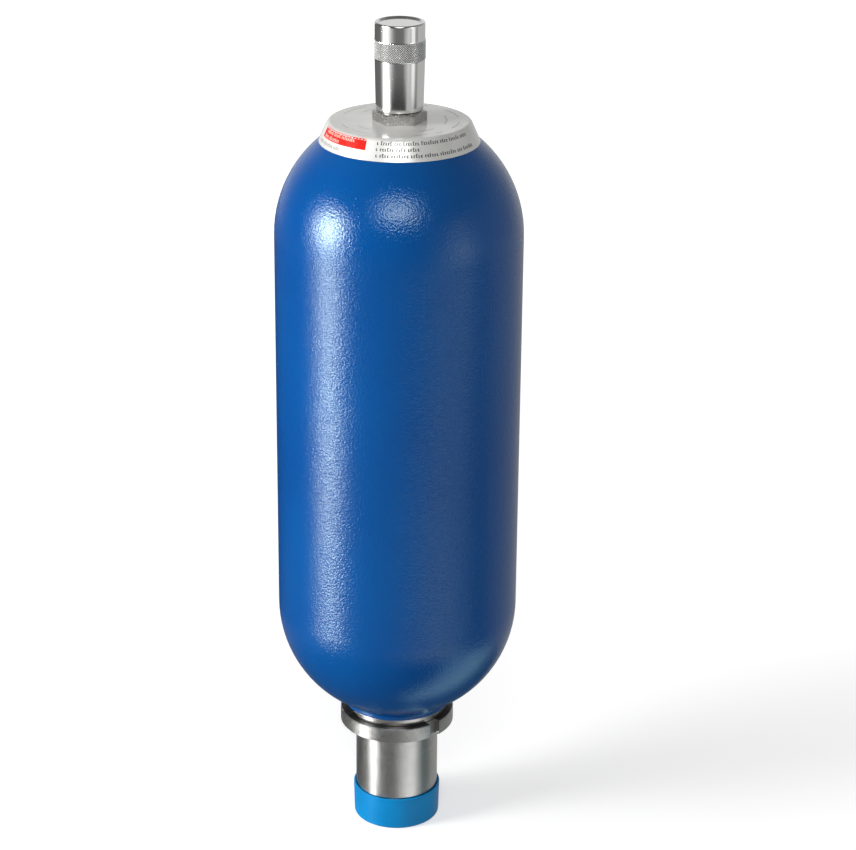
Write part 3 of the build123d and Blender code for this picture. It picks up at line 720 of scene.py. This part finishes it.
stemShape = {
    "threadRadius": 11.11 * mm,
    "bossRadius": 8.0 * mm,
    "bossHeight": 12.0 * mm,
    "bossEdge": 0.8 * mm,
    "footRadius": 28.0 * mm,
    "footThickness": 5.0 * mm,
    "tailLength": 6.0 * mm,
    "edge": 1.0 * mm,
    "gasHole": 3.0 * mm,
    "pocketRadius": 4.0 * mm,
    "pocketDepth": 22.0 * mm,
    "pitch": 1.81 * mm,
    "depth": 0.85 * mm,
    "underNut": 1.0 * mm,   # the thread starts this far inside the nut
    "steps": 72,
}

portThreadShape = {
    "radius": 19.46 * mm,
    "wall": 0.4 * mm,
    "pitch": 2.309 * mm,
    "depth": 0.55 * mm,
    "start": 2.2 * mm,      # up from the port's end
    "end": 34.0 * mm,
    "steps": 96,
}


toothShape = {
    "rows": 8,              # of mesh for each pitch
    "slope": 2.6,
    "flat": 0.15,           # share of a tooth's height that is cut off at its crest
}


def newNodePiece(name, mesh, node):
    # a piece that rides on the accumulator and has the finish of the CAD node
    slot = slotOfNode[node]
    return newPiece(name, mesh, "accumulator", [finishes[slot]])


def plainRing(mesh, radius, z, steps):
    turns = [2 * math.pi * step / steps for step in range(steps)]
    return [mesh.verts.new((radius * math.cos(t), radius * math.sin(t), z)) for t in turns]


def threadRings(mesh, radius, depth, pitch, low, high, steps):
    # the radius goes in and out with height and turn, and the teeth die out over one pitch at both ends
    rows = round((high - low) / pitch * toothShape["rows"])
    rings = []
    for row in range(rows + 1):
        z = low + (high - low) * row / rows
        fade = max(0.0, min(1.0, (z - low) / pitch, (high - z) / pitch))
        ring = []
        for step in range(steps):
            turn = 2 * math.pi * step / steps
            wave = (z / pitch - step / steps) % 1.0
            sunk = abs(wave - 0.5) * toothShape["slope"] - toothShape["flat"]
            r = radius - depth * min(1.0, max(0.0, sunk)) * fade
            ring.append(mesh.verts.new((r * math.cos(turn), r * math.sin(turn), z)))
        rings.append(ring)
    return rings


def closeRings(mesh, rings):
    # one closed skin: each ring joined to the next, and the last to the first
    for one, two in zip(rings, rings[1:] + rings[:1]):
        for step in range(len(one)):
            after = (step + 1) % len(one)
            mesh.faces.new((one[step], one[after], two[after], two[step])).smooth = True
    bmesh.ops.recalc_face_normals(mesh, faces=mesh.faces)


def makeGasStem():
    g = stemShape
    steps = g["steps"]
    tail, top = stemLow.z, stemHigh.z
    foot = tail + g["tailLength"]
    footTop = foot + g["footThickness"]
    shoulder = top - g["bossHeight"]
    mesh = bmesh.new()
    under = [
        (g["gasHole"], tail), (g["bossRadius"], tail), (g["bossRadius"], foot),
        (g["footRadius"] - g["edge"], foot), (g["footRadius"], foot + g["edge"]),
        (g["footRadius"], footTop - g["edge"]), (g["footRadius"] - g["edge"], footTop),
        (g["threadRadius"], footTop),
    ]
    over = [
        (g["threadRadius"] - g["edge"], shoulder), (g["bossRadius"], shoulder),
        (g["bossRadius"], top - g["bossEdge"]), (g["bossRadius"] - g["bossEdge"], top),
        (g["pocketRadius"], top), (g["pocketRadius"], top - g["pocketDepth"]),
        (g["gasHole"], top - g["pocketDepth"]),
    ]
    start, end = hexHigh.z - g["underNut"], shoulder - g["edge"]
    rings = [plainRing(mesh, r, z, steps) for r, z in under]
    rings += threadRings(mesh, g["threadRadius"], g["depth"], g["pitch"], start, end, steps)
    rings += [plainRing(mesh, r, z, steps) for r, z in over]
    closeRings(mesh, rings)
    sharpenEdges(mesh, 40)
    piece = newNodePiece("gasStem", mesh, "bladder_stem")
    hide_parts("bladder_stem")


def makePortThread():
    # raised thread on the wall of the fluid port
    t = portThreadShape
    low, high = portLow.z + t["start"], portLow.z + t["end"]
    mesh = bmesh.new()
    back = t["radius"] + t["wall"]
    rings = [plainRing(mesh, back, low, t["steps"])]
    rings += threadRings(mesh, t["radius"], t["depth"], t["pitch"], low, high, t["steps"])
    rings += [plainRing(mesh, back, high, t["steps"])]
    closeRings(mesh, rings)
    newNodePiece("portThread", mesh, "port_body")


makeGasStem()
makePortThread()
print("threads cut")


def makeSpring(name, node):
    # a smooth-shaded copy of the CAD node's spring, which takes its place
    mesh = bmesh.new()
    mesh.from_mesh(frame["nodes"][node].data)
    bmesh.ops.remove_doubles(mesh, verts=mesh.verts, dist=1e-7)
    bmesh.ops.recalc_face_normals(mesh, faces=mesh.faces)
    for face in mesh.faces:
        face.smooth = True
    sharpenEdges(mesh, 40)
    piece = newNodePiece(name, mesh, node)
    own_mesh(piece)
    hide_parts(node)


makeSpring("poppetSpring", "poppet_spring")
makeSpring("valveSpring", "valve_core_spring")


plateShape = {
    "flatRadius": 47.7 * mm,
    "rimRadius": 53.8 * mm,
    "bend": 3.5 * mm,
    "ink": 0.05 * mm,
    "sunk": 0.02 * mm,
    "flankStep": 1.5 * mm,
    "letter": 1.7 * mm,     # width of one letter-like stroke with its gap
    "bar": 0.4 * mm,
    "low": 1.75 * mm,
    "tall": 2.5 * mm,
    "upright": 0.42,        # share of a letter's width
    "crossbar": 0.75,
    "wordGap": 0.7,
    "arc": 0.45 * mm,       # width of the arcs on the flat
    "turnStep": 3,          # degrees
}


def plateSurface(along, lift):
    # a point on the plate's section, measured up from the rim's edge along its outside
    p = plateShape
    rise = plateHigh.z - plateLow.z
    slant = math.atan2(p["flatRadius"] - p["rimRadius"], rise)
    length = math.hypot(rise, p["flatRadius"] - p["rimRadius"])
    turn = math.pi / 2 + slant
    straight = length - p["bend"] * math.tan(turn / 2)
    if along <= straight:
        r = p["rimRadius"] + along * math.sin(slant)
        z = plateLow.z + along * math.cos(slant)
        return r + lift * math.cos(slant), z - lift * math.sin(slant)
    swung = min(turn, (along - straight) / p["bend"])
    centreR = p["rimRadius"] + straight * math.sin(slant) - p["bend"] * math.cos(slant)
    centreZ = plateLow.z + straight * math.cos(slant) + p["bend"] * math.sin(slant)
    tilt = -slant + swung
    reach = p["bend"] + lift
    return centreR + reach * math.cos(tilt), centreZ + reach * math.sin(tilt)


def addSection(mesh, shape, start, end):
    # swings a small closed section round the plate, degrees to the right of the camera's side
    first = math.radians(viewSetup["side"] + start - 90)
    points = [mesh.verts.new((r * math.cos(first), r * math.sin(first), z)) for r, z in shape]
    face = mesh.faces.new(points)
    startCap = bmesh.ops.duplicate(mesh, geom=[face])["geom"]
    bmesh.ops.spin(
        mesh, geom=[face, *face.edges, *points], cent=(0, 0, 0), axis=(0, 0, 1), use_duplicate=False,
        angle=math.radians(end - start), steps=max(1, round(abs(end - start) / plateShape["turnStep"])),
    )
    startCorners = [part for part in startCap if isinstance(part, bmesh.types.BMVert)]
    bmesh.ops.remove_doubles(mesh, verts=points + startCorners, dist=1e-7)


def addFlankMark(mesh, start, end, low, high, layer=0):
    # a field of ink on the plate's sloping flank, or on the ink that is already there
    top = plateShape["ink"] * (1 + layer)
    under = plateShape["ink"] * layer - plateShape["sunk"]
    cuts = max(1, round((high - low) / plateShape["flankStep"]))
    stops = [low + (high - low) * i / cuts for i in range(cuts + 1)]
    shape = [plateSurface(s, under) for s in stops] + [plateSurface(s, top) for s in reversed(stops)]
    addSection(mesh, shape, start, end)


def addFlatMark(mesh, start, end, inner, outer):
    low, top = plateHigh.z - plateShape["sunk"], plateHigh.z + plateShape["ink"]
    addSection(mesh, [(inner, low), (outer, low), (outer, top), (inner, top)], start, end)


def addWordLine(mesh, start, low, words, layer=0, size=1.0):
    # rows of small upright strokes that only look like print from a step away
    p = plateShape
    step = math.degrees(p["letter"] * size / p["rimRadius"])
    bar = p["bar"] * size
    angle = start
    for number, word in enumerate(words):
        for letter in range(word):
            tall = (letter * 5 + number * 3 + word) % 4 == 0
            height = p["tall" if tall else "low"] * size
            across = angle + step * p["crossbar"]
            addFlankMark(mesh, angle, angle + step * p["upright"], low, low + height, layer)
            if (letter + number) % 3:
                addFlankMark(mesh, angle, across, low + height - bar, low + height, layer)
            if (letter + word) % 2:
                addFlankMark(mesh, angle, across, low, low + bar, layer)
            angle += step
        angle += step * p["wordGap"]


def finishPrint(name, mesh, ink):
    bmesh.ops.recalc_face_normals(mesh, faces=mesh.faces)
    newPiece(name, mesh, "accumulator", [ink])


# short arcs on the flat: (radius in mm, start, end), degrees to the right of the camera's side
faintArcs = [
    (39.5, -72, -58), (39.5, -52, -31), (39.5, -20, -9), (39.5, 14, 27), (39.5, 36, 44),
    (39.5, 60, 84), (39.5, 100, 130), (39.5, 150, 196), (39.5, 214, 250),
    (31.0, -60, -38), (31.0, 24, 46), (31.0, 70, 110), (31.0, 190, 230),
]


def makePlatePrint():
    red = bmesh.new()
    addFlankMark(red, -77, -25.8, 6.5 * mm, 13.9 * mm)
    finishPrint("redField", red, redInk)

    pale = bmesh.new()
    addWordLine(pale, -71, 10.5 * mm, (6, 5, 8), 1, 0.95)
    addWordLine(pale, -73, 7.2 * mm, (4, 8), 1, 0.95)
    finishPrint("paleStrokes", pale, paleInk)

    grey = bmesh.new()
    addWordLine(grey, -17.2, 10.9 * mm, (1, 5, 3, 7, 8, 4, 6, 5))
    addWordLine(grey, -17.5, 6.9 * mm, (1, 6, 4, 5))
    addWordLine(grey, -17.3, 2.8 * mm, (1, 4, 7, 5, 6, 8, 3, 7))
    finishPrint("greyStrokes", grey, greyInk)

    faint = bmesh.new()
    addWordLine(faint, -80, 2.4 * mm, (5, 8, 4), 0, 0.95)
    for inner, start, end in faintArcs:
        addFlatMark(faint, start, end, inner * mm, inner * mm + plateShape["arc"])
    finishPrint("faintStrokes", faint, faintInk)


makePlatePrint()
print("name plate printed")
